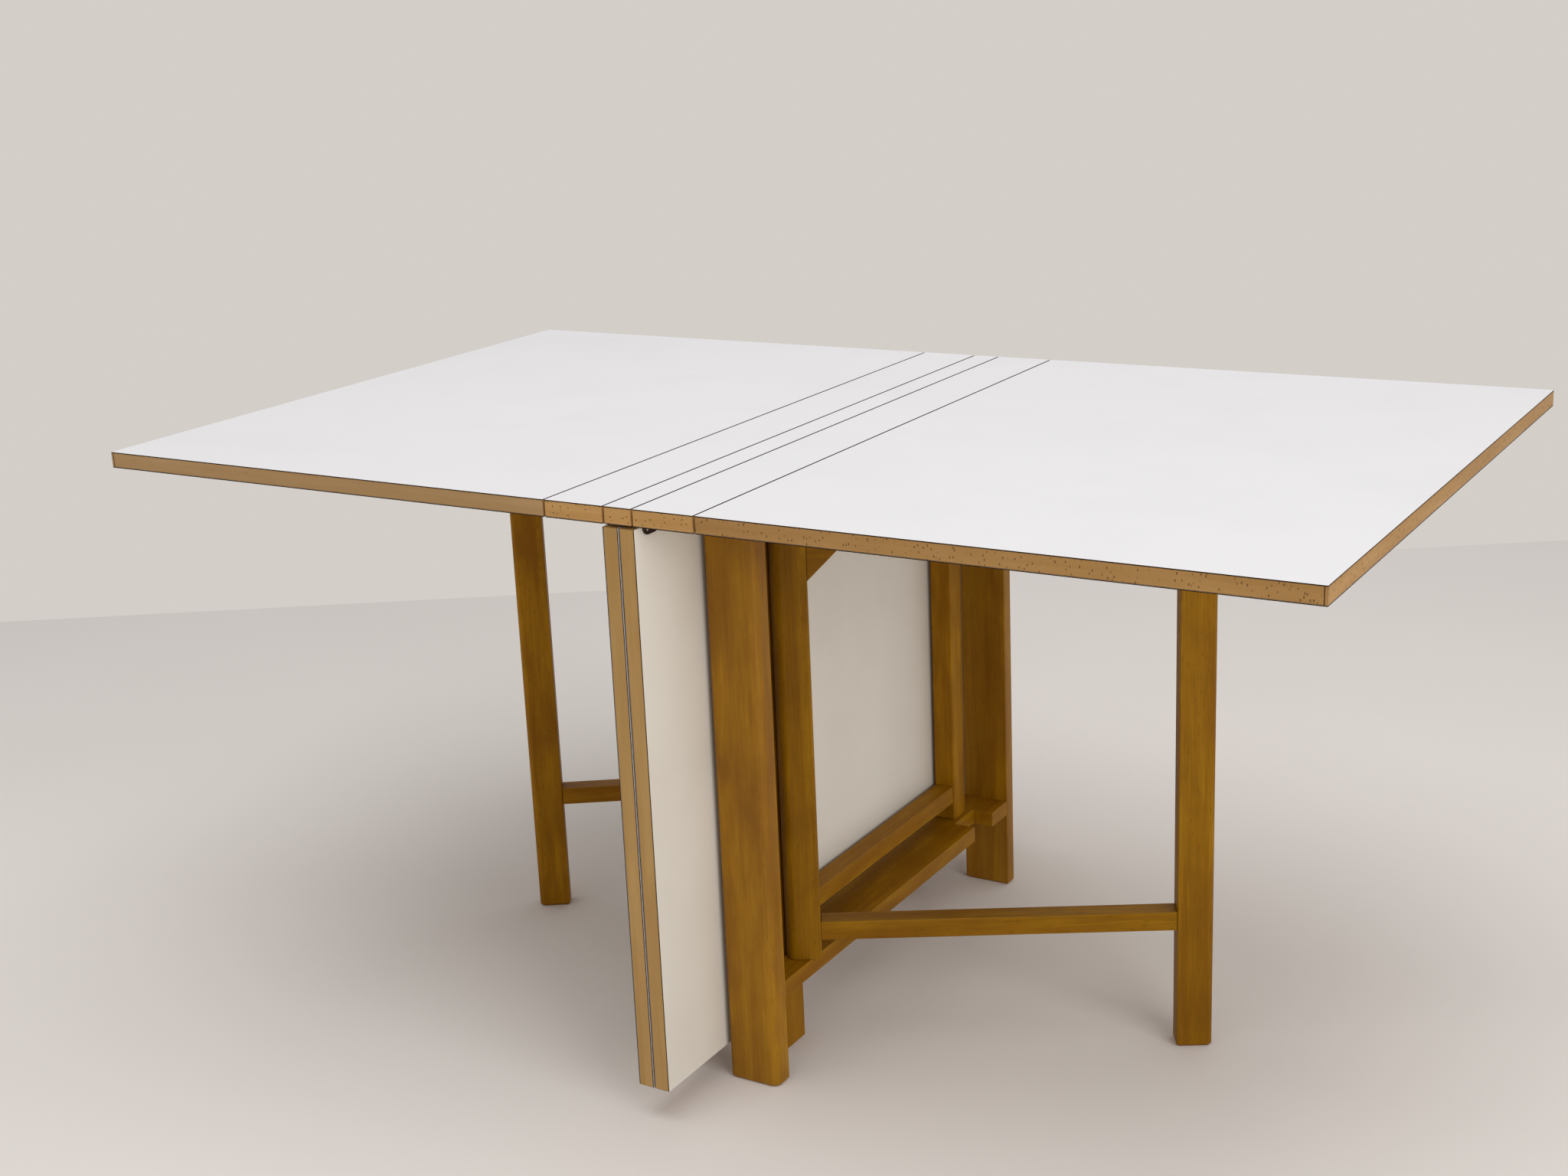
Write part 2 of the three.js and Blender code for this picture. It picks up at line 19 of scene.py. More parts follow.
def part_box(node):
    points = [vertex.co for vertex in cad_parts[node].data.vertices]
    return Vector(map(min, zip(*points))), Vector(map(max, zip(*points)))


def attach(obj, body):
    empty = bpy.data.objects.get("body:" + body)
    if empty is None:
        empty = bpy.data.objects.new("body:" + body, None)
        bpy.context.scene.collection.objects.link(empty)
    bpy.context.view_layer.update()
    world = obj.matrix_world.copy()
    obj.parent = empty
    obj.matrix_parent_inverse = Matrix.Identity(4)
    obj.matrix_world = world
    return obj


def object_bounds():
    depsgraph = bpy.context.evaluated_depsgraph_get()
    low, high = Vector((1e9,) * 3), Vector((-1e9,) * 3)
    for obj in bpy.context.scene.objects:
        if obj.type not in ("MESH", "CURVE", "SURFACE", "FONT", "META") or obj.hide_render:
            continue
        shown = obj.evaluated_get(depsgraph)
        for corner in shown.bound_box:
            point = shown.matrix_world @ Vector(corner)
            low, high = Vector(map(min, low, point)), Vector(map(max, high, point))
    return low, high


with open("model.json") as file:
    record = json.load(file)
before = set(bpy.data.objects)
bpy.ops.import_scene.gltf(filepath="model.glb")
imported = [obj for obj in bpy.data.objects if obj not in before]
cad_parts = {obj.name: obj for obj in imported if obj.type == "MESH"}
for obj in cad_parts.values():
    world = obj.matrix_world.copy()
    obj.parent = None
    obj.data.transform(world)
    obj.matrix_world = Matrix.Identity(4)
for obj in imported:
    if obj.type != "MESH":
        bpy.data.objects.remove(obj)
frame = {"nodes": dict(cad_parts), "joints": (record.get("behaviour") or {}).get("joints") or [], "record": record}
cad_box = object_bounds()
nodes = frame["nodes"]
print("nodes:", len(nodes))

# %% [markdown]
# ## Three helpers for every material
#
# A colour picker shows sRGB values, but Blender's shader sockets hold linear light, so the first
# function turns a hex value into linear numbers. Adding a node by hand means adding it, setting its
# options and joining its sockets. The second function does these three in one line, so a material
# reads from top to bottom like a recipe. The third gives the empty material to start from.
#
# Most sockets go by their names, and the others by their numbers. A Mix node takes its share at 0,
# two vectors at 4 and 5 and two colours at 6 and 7. It gives the vector at 1 and the colour at 2.

# %% Colours and nodes
MM = 0.001
X_AXIS, Y_AXIS, Z_AXIS = 0, 1, 2


def colour(hex_value):
    channels = []
    for shift in (16, 8, 0):
        c = ((hex_value >> shift) & 255) / 255
        channels.append(c / 12.92 if c <= 0.04045 else ((c + 0.055) / 1.055) ** 2.4)
    return (*channels, 1.0)


def add(owner, kind, options=None, values=None, links=None):
    """Adds a node to a material or a world. Its values and links are keyed by input socket."""
    node = owner.node_tree.nodes.new(kind)
    for name, option in (options or {}).items():
        setattr(node, name, option)
    for socket, value in (values or {}).items():
        node.inputs[socket].default_value = value
    for socket, source in (links or {}).items():
        owner.node_tree.links.new(source, node.inputs[socket])
    return node


def blank(name):
    material = bpy.data.materials.new(name)
    material.use_nodes = True
    material.node_tree.nodes.clear()
    return material


print("white in linear light:", colour(0xFFFFFF))

# %% [markdown]
# ## Melamine laminate
#
# The boards are faced with high pressure laminate: printed paper and melamine resin, pressed
# to a sheet under a plate that leaves a satin face with a fine pebble. The sheet's cut edge is dull
# and shows its core of brown resin paper as a thin dark line above and below the lipping. The
# faces and the edges belong to one node, so the material tells them apart by the direction of the
# surface. A level board has its faces up and down, and a hanging one has them along the table.
# Years of plates and cloths leave broad patches that are a touch duller, and a few hair scratches.
#
# The show face of a board is white. The backing sheet on its underside is white as well, and its
# cream tone is painted warm shade, for the light that the wood bounces under the top. The hanging
# leaves turn their undersides outwards. A face looks outwards when its normal points away from the
# middle of the floor, and that is where the product of normal and place is positive. So the outward
# face of a level board is its show face, and that of a hanging board is its back.
#
# A surface faces along an axis when more than FACING_SHARE of its normal lies along it. Here and
# below, a pair of levels gives the value at which a mark begins and the one at which it is full.

# %% Laminate
SHOW_FACE = (colour(0xECEBED), colour(0xE9E8EA))
# The cream of the backs is painted warm shade; the backing sheet is as white as the show face.
WARM_SHADED_BACK_FACE = (colour(0xE0DACF), colour(0xDAD3C7))
RESIN_PAPER = colour(0x2A1C12)
RESIN_IOR = 1.5
PEBBLE = 0.9 * MM
PEBBLE_HEIGHT = 0.05 * MM
PEBBLE_STRENGTH = 0.12
DULL_PATCH = 140 * MM
PATCH_LEVELS = (0.45, 0.75)
SCRATCH_LENGTH = 120 * MM
SCRATCH_SPACING = 22 * MM
SCRATCH_TURN = (0.4, 0.5, 0.9)
SCRATCH_LEVELS = (0.6, 0.66)
SCRATCH_ROUGHNESS = 0.12
SATIN_ROUGHNESS = (0.38, 0.46)
SATIN_SHINE = 0.5
FACING_SHARE = 0.5


def laminate(name, face_axis, inward_face, outward_face):
    m = blank(name)
    where = add(m, "ShaderNodeTexCoord")
    split = add(m, "ShaderNodeSeparateXYZ", links={0: where.outputs["Normal"]})
    spot = add(m, "ShaderNodeSeparateXYZ", links={0: where.outputs["Object"]})
    away = add(
        m, "ShaderNodeMath", {"operation": "MULTIPLY"},
        links={0: split.outputs[face_axis], 1: spot.outputs[face_axis]},
    )
    is_outward = add(m, "ShaderNodeMath", {"operation": "GREATER_THAN"}, {1: 0}, {0: away.outputs[0]})
    facing = add(m, "ShaderNodeMath", {"operation": "ABSOLUTE"}, links={0: split.outputs[face_axis]})
    is_face = add(
        m, "ShaderNodeMath", {"operation": "GREATER_THAN"}, {1: FACING_SHARE}, {0: facing.outputs[0]},
    )
    cloud = add(
        m, "ShaderNodeTexNoise", values={"Scale": 1 / DULL_PATCH, "Detail": 4},
        links={"Vector": where.outputs["Object"]},
    )
    cloud_share = add(
        m, "ShaderNodeMapRange", values={"From Min": PATCH_LEVELS[0], "From Max": PATCH_LEVELS[1]},
        links={"Value": cloud.outputs["Fac"]},
    )
    inward_tone = add(
        m, "ShaderNodeMix", {"data_type": "RGBA"}, {6: inward_face[0], 7: inward_face[1]},
        {0: cloud_share.outputs["Result"]},
    )
    outward_tone = add(
        m, "ShaderNodeMix", {"data_type": "RGBA"}, {6: outward_face[0], 7: outward_face[1]},
        {0: cloud_share.outputs["Result"]},
    )
    tone = add(
        m, "ShaderNodeMix", {"data_type": "RGBA"},
        links={0: is_outward.outputs[0], 6: inward_tone.outputs[2], 7: outward_tone.outputs[2]},
    )
    body = add(
        m, "ShaderNodeMix", {"data_type": "RGBA"}, {6: RESIN_PAPER},
        {0: is_face.outputs[0], 7: tone.outputs[2]},
    )
    pebble = add(
        m, "ShaderNodeTexNoise", values={"Scale": 1 / PEBBLE, "Detail": 2},
        links={"Vector": where.outputs["Object"]},
    )
    drawn_out = add(
        m, "ShaderNodeMapping",
        values={
            "Rotation": SCRATCH_TURN,
            "Scale": (1 / SCRATCH_LENGTH, 1 / SCRATCH_SPACING, 1 / SCRATCH_SPACING),
        },
        links={0: where.outputs["Object"]},
    )
    streaks = add(
        m, "ShaderNodeTexNoise", values={"Scale": 1, "Detail": 6, "Roughness": 0.75},
        links={"Vector": drawn_out.outputs[0]},
    )
    scratch = add(
        m, "ShaderNodeMapRange",
        values={
            "From Min": SCRATCH_LEVELS[0], "From Max": SCRATCH_LEVELS[1], "To Max": SCRATCH_ROUGHNESS,
        },
        links={"Value": streaks.outputs["Fac"]},
    )
    smooth = add(
        m, "ShaderNodeMapRange", values={"To Min": SATIN_ROUGHNESS[0], "To Max": SATIN_ROUGHNESS[1]},
        links={"Value": cloud.outputs["Fac"]},
    )
    rough = add(
        m, "ShaderNodeMath", {"operation": "ADD"},
        links={0: smooth.outputs["Result"], 1: scratch.outputs["Result"]},
    )
    bump = add(
        m, "ShaderNodeBump", values={"Strength": PEBBLE_STRENGTH, "Distance": PEBBLE_HEIGHT},
        links={"Height": pebble.outputs["Fac"]},
    )
    shine = add(
        m, "ShaderNodeMath", {"operation": "MULTIPLY"}, {1: SATIN_SHINE}, {0: is_face.outputs[0]},
    )
    shader = add(
        m, "ShaderNodeBsdfPrincipled", values={"IOR": RESIN_IOR},
        links={
            "Base Color": body.outputs[2], "Roughness": rough.outputs[0],
            "Specular IOR Level": shine.outputs[0], "Normal": bump.outputs["Normal"],
        },
    )
    add(m, "ShaderNodeOutputMaterial", links={"Surface": shader.outputs[0]})
    return m


laminate_level = laminate("satin_laminate_level_board", Z_AXIS, WARM_SHADED_BACK_FACE, SHOW_FACE)
laminate_hanging = laminate("satin_laminate_hanging_board", X_AXIS, SHOW_FACE, WARM_SHADED_BACK_FACE)
print("laminate pebble, mm:", PEBBLE / MM)

# %% [markdown]
# ## Worn edges
#
# A finish changes first at its edges, where hands rub it and dirt settles. The Bevel node gives the
# normal that a rounded edge would have, and where that leaves the true normal, an edge is near. The
# rounded normal also makes the sharp edges of the model catch the light.

# %% Worn edges
BEVEL_SAMPLES = 6


def worn_edges(m, width, levels, strength):
    """Gives the rounded normal, and how strongly the edges show."""
    rounded = add(m, "ShaderNodeBevel", {"samples": BEVEL_SAMPLES}, {"Radius": width})
    true = add(m, "ShaderNodeNewGeometry")
    agree = add(
        m, "ShaderNodeVectorMath", {"operation": "DOT_PRODUCT"},
        links={0: rounded.outputs[0], 1: true.outputs["Normal"]},
    )
    at_edge = add(
        m, "ShaderNodeMapRange",
        values={"From Min": levels[0], "From Max": levels[1], "To Max": strength},
        links={"Value": agree.outputs["Value"]},
    )
    return rounded.outputs[0], at_edge.outputs["Result"]


print("bevel samples:", BEVEL_SAMPLES)

# %% [markdown]
# ## Beech, clear and stained
#
# Beech is a plain, fine wood. What the eye reads is a soft straight grain, broad bands of tone
# where the growth rings are cut, and short dark flecks. Grain, bands and clouds of stain are
# noises stretched along the grain, so a Mapping node first turns the pattern until the grain runs
# along Z. The flecks are the hearts of stretched Voronoi cells, and only a share of the cells
# shows one.
#
# The same wood is used twice. The frame is stained amber and rubbed, so the stain lies in clouds,
# and its arrises are lighter: partly worn through the stain, and partly a painted highlight where the
# light catches them. The lippings are planed and clear lacquered, their arrises have darkened, and a
# dark glue line shows where two sticks meet at a corner.
#
# A lipping is a ring of four sticks in one piece, so its material has two directions of grain: one
# for the sticks at the near and far ends, which it knows by their normals, and one for the rest.

# %% Directions of grain
QUARTER = math.pi / 2


def level_grain(angle):
    """Turns the pattern so that its Z lies level, at this angle from the length of the table."""
    return (QUARTER, angle - QUARTER, 0)


UPRIGHT = (0, 0, 0)
ALONG_TABLE = level_grain(0)
ACROSS_TABLE = level_grain(QUARTER)
RIGHT_GATE_OPENING = math.radians(29.4)
LEFT_GATE_OPENING = math.radians(33.6)
ALONG_RIGHT_GATE = level_grain(RIGHT_GATE_OPENING)
ALONG_LEFT_GATE = level_grain(LEFT_GATE_OPENING)
print("turns of the grain:", ALONG_TABLE, ACROSS_TABLE)

# %% Wood
# Each noise has its size across and along the grain, then its shift and its detail.
GRAIN = (1.1 * MM, 60 * MM)
BANDS = (19 * MM, 380 * MM)
CLOUDS = (55 * MM, 130 * MM)
NOISES = ((GRAIN, 3.1, 5), (BANDS, 7.7, 3), (CLOUDS, 5.3, 4))
LINE_LEVELS = (0.62, 0.4)
BAND_LEVELS = (0.35, 0.65)
CLOUD_LEVELS = (0.4, 0.68)
FLECK_LEVELS = (0.26, 0.12)
EDGE_LEVELS = (0.99, 0.86)
GRAIN_HEIGHT = 0.08 * MM
GRAIN_STRENGTH = 0.4
ROUGHNESS_SPREAD = 0.1
GLUE_LINE = 1.4 * MM
GLUE_LINE_TO_END = 3.2 * MM
CORNER_JOINT = cad_box[1].x - GLUE_LINE_TO_END


def beech(name, look, turn, turn_at_ends=None):
    m = blank(name)
    where = add(m, "ShaderNodeTexCoord")
    turned = add(m, "ShaderNodeMapping", values={"Rotation": turn}, links={0: where.outputs["Object"]})
    along_grain = turned.outputs[0]
    if turn_at_ends:
        end_turned = add(
            m, "ShaderNodeMapping", values={"Rotation": turn_at_ends},
            links={0: where.outputs["Object"]},
        )
        split = add(m, "ShaderNodeSeparateXYZ", links={0: where.outputs["Normal"]})
        facing = add(m, "ShaderNodeMath", {"operation": "ABSOLUTE"}, links={0: split.outputs[Y_AXIS]})
        is_end = add(
            m, "ShaderNodeMath", {"operation": "GREATER_THAN"}, {1: FACING_SHARE}, {0: facing.outputs[0]},
        )
        picked = add(
            m, "ShaderNodeMix", {"data_type": "VECTOR"},
            links={0: is_end.outputs[0], 4: turned.outputs[0], 5: end_turned.outputs[0]},
        )
        along_grain = picked.outputs[1]
        spot = add(m, "ShaderNodeSeparateXYZ", links={0: where.outputs["Object"]})
        from_middle = add(
            m, "ShaderNodeMath", {"operation": "ABSOLUTE"}, links={0: spot.outputs[X_AXIS]},
        )
        at_joint = add(
            m, "ShaderNodeMath", {"operation": "COMPARE"}, {1: CORNER_JOINT, 2: GLUE_LINE / 2},
            {0: from_middle.outputs[0]},
        )
        glue = add(
            m, "ShaderNodeMath", {"operation": "MULTIPLY"},
            links={0: at_joint.outputs[0], 1: is_end.outputs[0]},
        )

    noises = []
    for (across, along), shift, detail in NOISES:
        stretched = add(
            m, "ShaderNodeMapping",
            values={"Scale": (1 / across, 1 / across, 1 / along), "Location": (shift, shift, shift)},
            links={0: along_grain},
        )
        noises.append(add(
            m, "ShaderNodeTexNoise",
            values={"Scale": 1, "Detail": detail, "Roughness": 0.6, "Distortion": 0.3},
            links={"Vector": stretched.outputs[0]},
        ).outputs["Fac"])
    grain, bands, clouds = noises

    banded = add(
        m, "ShaderNodeMapRange", values={"From Min": BAND_LEVELS[0], "From Max": BAND_LEVELS[1]},
        links={"Value": bands},
    )
    tone = add(
        m, "ShaderNodeMix", {"data_type": "RGBA"}, {6: look["dark"], 7: look["light"]},
        {0: banded.outputs["Result"]},
    )
    cloudy = add(
        m, "ShaderNodeMapRange",
        values={"From Min": CLOUD_LEVELS[0], "From Max": CLOUD_LEVELS[1], "To Max": look["cloud"]},
        links={"Value": clouds},
    )
    lined = add(
        m, "ShaderNodeMapRange",
        values={"From Min": LINE_LEVELS[0], "From Max": LINE_LEVELS[1], "To Max": look["line"]},
        links={"Value": grain},
    )

    fleck_cells = add(
        m, "ShaderNodeMapping", values={"Scale": [1 / size for size in look["fleck_cell"]]},
        links={0: along_grain},
    )
    cells = add(
        m, "ShaderNodeTexVoronoi", values={"Scale": 1}, links={"Vector": fleck_cells.outputs[0]},
    )
    near_fleck = add(
        m, "ShaderNodeMapRange",
        values={"From Min": FLECK_LEVELS[0], "From Max": FLECK_LEVELS[1], "To Max": look["fleck"]},
        links={"Value": cells.outputs["Distance"]},
    )
    chosen = add(
        m, "ShaderNodeMath", {"operation": "LESS_THAN"}, {1: look["fleck_share"]},
        {0: cells.outputs["Color"]},
    )
    fleck = add(
        m, "ShaderNodeMath", {"operation": "MULTIPLY"},
        links={0: near_fleck.outputs["Result"], 1: chosen.outputs[0]},
    )

    rounded, at_edge = worn_edges(m, look["edge_width"], EDGE_LEVELS, look["edge"])
    painted = tone.outputs[2]
    layers = [
        ("cloud_colour", cloudy.outputs["Result"]), ("line_colour", lined.outputs["Result"]),
        ("fleck_colour", fleck.outputs[0]), ("edge_colour", at_edge),
    ]
    if turn_at_ends:
        layers.append(("edge_colour", glue.outputs[0]))
    for over, share in layers:
        layer = add(m, "ShaderNodeMix", {"data_type": "RGBA"}, {7: look[over]}, {0: share, 6: painted})
        painted = layer.outputs[2]

    rough = add(
        m, "ShaderNodeMapRange",
        values={
            "To Min": look["rough"] - ROUGHNESS_SPREAD, "To Max": look["rough"] + ROUGHNESS_SPREAD,
        },
        links={"Value": grain},
    )
    bump = add(
        m, "ShaderNodeBump", values={"Strength": GRAIN_STRENGTH, "Distance": GRAIN_HEIGHT},
        links={"Height": grain, "Normal": rounded},
    )
    shader = add(
        m, "ShaderNodeBsdfPrincipled",
        values={"IOR": RESIN_IOR, "Specular IOR Level": look["shine"]},
        links={
            "Base Color": painted, "Roughness": rough.outputs["Result"],
            "Normal": bump.outputs["Normal"],
        },
    )
    add(m, "ShaderNodeOutputMaterial", links={"Surface": shader.outputs[0]})
    return m


print("grain across and along, mm:", [size / MM for size in GRAIN])

# %% [markdown]
# ## The looks of the wood
#
# A look gives the tones of the bands and, for each mark laid over them, how strong it is and its
# colour. A fleck cell has its size along the three axes of the turned pattern. In the frame its
# long side follows the grain. In most lippings it runs into the wood, so their flecks show as
# dots and short dashes.
#
# The end legs shine a little more than the rest of the frame. The right outer gate is given darker
# colours than they have, which is painted shade, and the left one lighter colours, which is painted light.

# %% Stained frame
STAINED = {
    "dark": colour(0x905F02), "light": colour(0xAA7808),
    "cloud": 0.7, "cloud_colour": colour(0x7C4C02),
    "line": 0.4, "line_colour": colour(0x6E4602),
    "fleck": 0.35, "fleck_share": 0.5,
    "fleck_cell": (3.5 * MM, 3.5 * MM, 16 * MM), "fleck_colour": colour(0x553402),
    # The light edge colour is partly worn stain and partly a painted highlight on the arrises.
    "edge": 0.35, "edge_width": 1.8 * MM, "edge_colour": colour(0xBC9440),
    "rough": 0.5, "shine": 0.25,
}
DULL = {**STAINED, "shine": 0.12}
# The right outer gate's darker colours are painted shade on the one amber stain.
DARKER_PAINTED_SHADE = {
    **DULL, "dark": colour(0x865802), "light": colour(0x9E7007), "cloud_colour": colour(0x734702),
    "line_colour": colour(0x664102), "edge_colour": colour(0xAF8A3C),
}
# The left outer gate's lighter colours are painted light on the one amber stain.
LIGHTER_PAINTED_LIGHT = {
    **DULL, "dark": colour(0x9B6702), "light": colour(0xB88208), "cloud_colour": colour(0x865202),
    "line_colour": colour(0x774C02),
}
frame_upright = beech("stained_beech_end_leg", STAINED, UPRIGHT)
frame_inner_upright = beech("stained_beech_inner_gate", DULL, UPRIGHT)
frame_across = beech("stained_beech_across_table", DULL, ACROSS_TABLE)
frame_right_upright = beech("stained_beech_right_gate_painted_shade", DARKER_PAINTED_SHADE, UPRIGHT)
frame_right_rail = beech("stained_beech_right_gate_rail_painted_shade", DARKER_PAINTED_SHADE, ALONG_RIGHT_GATE)
frame_left_upright = beech("stained_beech_left_gate_painted_light", LIGHTER_PAINTED_LIGHT, UPRIGHT)
frame_left_rail = beech("stained_beech_left_gate_rail_painted_light", LIGHTER_PAINTED_LIGHT, ALONG_LEFT_GATE)
print("stained looks, with their shine:", STAINED["shine"], DULL["shine"])

# %% Clear lippings
PLAIN = {
    "dark": colour(0xAE8B5C), "light": colour(0xBC986A),
    "cloud": 0.45, "cloud_colour": colour(0xAA8350),
    "line": 0.22, "line_colour": colour(0x9E7A4C),
    "fleck": 0.2, "fleck_share": 0.3,
    "fleck_cell": (6 * MM, 6 * MM, 26 * MM), "fleck_colour": colour(0x7A5632),
    "edge": 0.8, "edge_width": 1.2 * MM, "edge_colour": colour(0x5C3C1C),
    "rough": 0.5, "shine": 0.25,
}
DOTTED = {
    **PLAIN, "dark": colour(0xC09253), "light": colour(0xCC9E60), "cloud_colour": colour(0xB4864A),
    "fleck": 0.95, "fleck_share": 0.5,
    "fleck_cell": (40 * MM, 4.5 * MM, 4.5 * MM), "fleck_colour": colour(0x5A3818),
}
STREAKED = {
    **PLAIN, "dark": colour(0xA67C44), "light": colour(0xB68C54), "cloud_colour": colour(0x9C723C),
    "fleck": 0.85, "fleck_share": 0.85,
    "fleck_cell": (40 * MM, 7 * MM, 4 * MM), "fleck_colour": colour(0x5A3C16),
}
HANGING = {
    **PLAIN, "dark": colour(0xAE874C), "light": colour(0xBC955A), "cloud_colour": colour(0xA67D44),
    "fleck": 0.8, "fleck_share": 0.25,
    "fleck_cell": (5 * MM, 40 * MM, 6 * MM), "fleck_colour": colour(0x6E4A1E),
}
lipping_plain = beech("clear_beech_plain_lipping", PLAIN, ACROSS_TABLE, ALONG_TABLE)
lipping_dotted = beech("clear_beech_strip_lipping", DOTTED, ACROSS_TABLE, ALONG_TABLE)
lipping_streaked = beech("clear_beech_flecked_lipping", STREAKED, ACROSS_TABLE, ALONG_TABLE)
lipping_hanging = beech("clear_beech_hanging_lipping", HANGING, ACROSS_TABLE, UPRIGHT)
print("clear looks, share of flecked cells:", PLAIN["fleck_share"], STREAKED["fleck_share"])

# %% [markdown]
# ## Bronzed steel
#
# The hinges are pressed steel with a dark bronzed finish: a thin brown oxide under lacquer. It is
# mostly dark and a little glossy, and rubs through to brighter metal at the edges of the plate and
# the knuckles. The screws are nickel plated, and stay bright.

# %% Hinge metal
MOTTLE = 4 * MM
RUBBED_WIDTH = 0.6 * MM
RUBBED_LEVELS = (0.98, 0.8)
RUBBED_SHARE = 0.5


def plated_steel(name, dark, light, edge, metallic, rough):
    m = blank(name)
    where = add(m, "ShaderNodeTexCoord")
    mottle = add(
        m, "ShaderNodeTexNoise", values={"Scale": 1 / MOTTLE, "Detail": 4},
        links={"Vector": where.outputs["Object"]},
    )
    tone = add(
        m, "ShaderNodeMix", {"data_type": "RGBA"}, {6: dark, 7: light}, {0: mottle.outputs["Fac"]},
    )
    rounded, at_edge = worn_edges(m, RUBBED_WIDTH, RUBBED_LEVELS, RUBBED_SHARE)
    rubbed = add(
        m, "ShaderNodeMix", {"data_type": "RGBA"}, {7: edge}, {0: at_edge, 6: tone.outputs[2]},
    )
    gloss = add(
        m, "ShaderNodeMapRange",
        values={"To Min": rough - ROUGHNESS_SPREAD, "To Max": rough + ROUGHNESS_SPREAD},
        links={"Value": mottle.outputs["Fac"]},
    )
    shader = add(
        m, "ShaderNodeBsdfPrincipled", values={"Metallic": metallic},
        links={
            "Base Color": rubbed.outputs[2], "Roughness": gloss.outputs["Result"],
            "Normal": rounded,
        },
    )
    add(m, "ShaderNodeOutputMaterial", links={"Surface": shader.outputs[0]})
    return m


hinge_metal = plated_steel(
    "bronzed_pressed_steel", colour(0x22150D), colour(0x3A2416), colour(0x8A6A44),
    metallic=0.7, rough=0.4,
)
screw_metal = plated_steel(
    "nickel_plated_steel_screw", colour(0xB9B2A6), colour(0xCFC9BE), colour(0xE2DDD4),
    metallic=1.0, rough=0.3,
)
print("metal finishes:", hinge_metal.name, screw_metal.name)

# %% [markdown]
# ## A finish for every node
#
# The name of a node says what the piece is and where it belongs. The inner leaves hang, so their
# boards and lippings need the finishes for hanging boards. Of the other lippings, those of the
# strips have dots, that of the right outer leaf has short streaks, and the left one is plain.

# %% Give every node its finish
def finish_for(name):
    if name.endswith("_board"):
        return laminate_hanging if "inner_leaf" in name else laminate_level
    if name.endswith("_lipping"):
        if "inner_leaf" in name:
            return lipping_hanging
        if "strip" in name:
            return lipping_dotted
        return lipping_streaked if name.startswith("right") else lipping_plain
    if name.endswith("_flap"):
        return hinge_metal
    level = name.endswith(("top_rail", "lower_rail", "gusset", "stretcher"))
    # The right outer gate takes the colours with painted shade, and the left one those with painted light.
    if "outer_gate" in name and name.startswith("right"):
        return frame_right_rail if level else frame_right_upright
    if "outer_gate" in name:
        return frame_left_rail if level else frame_left_upright
    if level:
        return frame_across
    return frame_inner_upright if "inner_gate" in name else frame_upright


for name, node in nodes.items():
    for place in node.material_slots:
        place.material = finish_for(name)
print("finishes given to", len(nodes), "nodes")

# %% [markdown]
# ## Hinge screws
#
# Each hinge flap is held by two small countersunk wood screws with a straight slot. A turned head
# is a low dome on a short cylinder, so it starts as a cylinder whose top is inset twice, a little
# higher each time. The slot is the middle strip between two cuts, pushed down. One screw is made
# at the origin, pointing up, and is then copied on to every flap. Screws driven by hand stop at
# any angle, so each slot is turned further than the last one.
#
# The pins of the hinges lie on the axes of the leaves' joints, level with the undersides of the
# boards, so the frame gives their places. The screws of a flap stand on a line beside the pin, one
# to each side of the flap's middle, and their heads are sunk a little into its outer face.

# %% One screw
HEAD_RADIUS = 1.9 * MM
HEAD_DEPTH = 2.2 * MM
HEAD_SIDES = 20
SLOT_WIDTH = 0.7 * MM
SLOT_DEPTH = 0.6 * MM
DOME_STEPS = ((0.35 * MM, 0.15 * MM), (0.3 * MM, 0.05 * MM))
NEARLY_LEVEL = 0.99
SMOOTH_UNDER = math.radians(30)


def pick_faces(thing, wanted):
    mesh = bmesh.from_edit_mesh(thing.data)
    for face in mesh.faces:
        face.select = False
    for face in mesh.faces:
        if wanted(face):
            face.select = True
    mesh.select_flush_mode()
    bmesh.update_edit_mesh(thing.data)


def is_crown(face):
    """Says whether a face is part of the level top in the middle of the head."""
    centre = face.calc_center_median()
    is_high = centre.z > HEAD_DEPTH / 4
    is_central = centre.xy.length < HEAD_RADIUS / 2
    return face.normal.z > NEARLY_LEVEL and is_high and is_central


bpy.ops.object.select_all(action="DESELECT")
bpy.ops.mesh.primitive_cylinder_add(vertices=HEAD_SIDES, radius=HEAD_RADIUS, depth=HEAD_DEPTH)
screw = bpy.context.object
screw.name = "hinge_screw"
bpy.ops.object.mode_set(mode="EDIT")
bpy.ops.mesh.select_mode(type="FACE")
for width, rise in DOME_STEPS:
    pick_faces(screw, is_crown)
    bpy.ops.mesh.inset(thickness=width, depth=rise)
for side in (-1, 1):
    pick_faces(screw, is_crown)
    bpy.ops.mesh.bisect(plane_co=(side * SLOT_WIDTH / 2, 0, 0), plane_no=(1, 0, 0))
pick_faces(screw, lambda f: is_crown(f) and abs(f.calc_center_median().x) < SLOT_WIDTH / 2)
bpy.ops.mesh.extrude_region_move(TRANSFORM_OT_translate={"value": (0, 0, -SLOT_DEPTH)})
bpy.ops.object.mode_set(mode="OBJECT")
bpy.ops.object.shade_smooth_by_angle(angle=SMOOTH_UNDER)
screw.data.materials.append(screw_metal)
print("screw faces:", len(screw.data.polygons))

# %% Screws in every flap
SCREW_LINE = 7.5 * MM
SCREW_SPREAD = 7 * MM
FLAP_FACE = 1.8 * MM
SUNK = 0.1 * MM
SLOT_TURN = 0.9
axis_place = {joint["child"]: joint["pos_m"] for joint in frame["joints"]}
OUTER_PIN, _, UNDERSIDE = axis_place["right_outer_leaf"]
INNER_PIN = axis_place["right_inner_leaf"][X_AXIS]
body_of = {
    name: body for body, names in frame["record"]["behaviour"]["bodies"].items() for name in names
}


